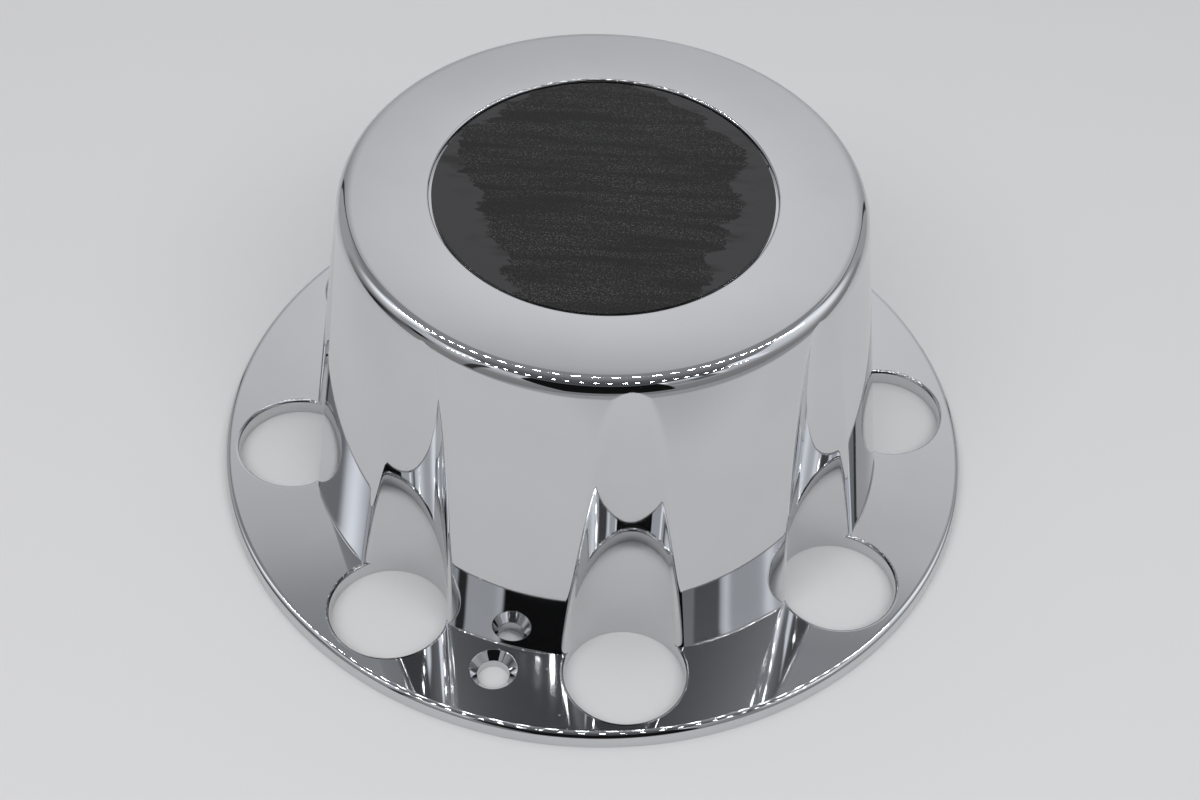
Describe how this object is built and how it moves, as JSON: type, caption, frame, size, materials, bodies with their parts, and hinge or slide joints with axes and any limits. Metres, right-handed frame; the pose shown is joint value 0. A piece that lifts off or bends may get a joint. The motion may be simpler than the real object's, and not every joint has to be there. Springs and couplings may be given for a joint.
{
  "type": "bolt-on wheel center cap",
  "caption": "Chromed bolt-on wheel center cap: flat drilled flange, leaning hollow body fluted by a ring of lug wells, rounded rim and a black disc set in the top.",
  "frame": {"origin": "centre of the flange's underside, where the cap sits on the wheel", "axes": "+Z along the wheel's axis, out of the wheel towards the cap's top; the screw holes lie on the Y axis"},
  "size_m": [0.204, 0.204, 0.0923],
  "materials": {
    "chrome": "bright mirror plating",
    "disc_face": "black with fine flake under a clear protective film"
  },
  "bodies": {
    "root": {"cap_shell": "chrome", "emblem_disc": "disc_face"}
  },
  "joints": []
}
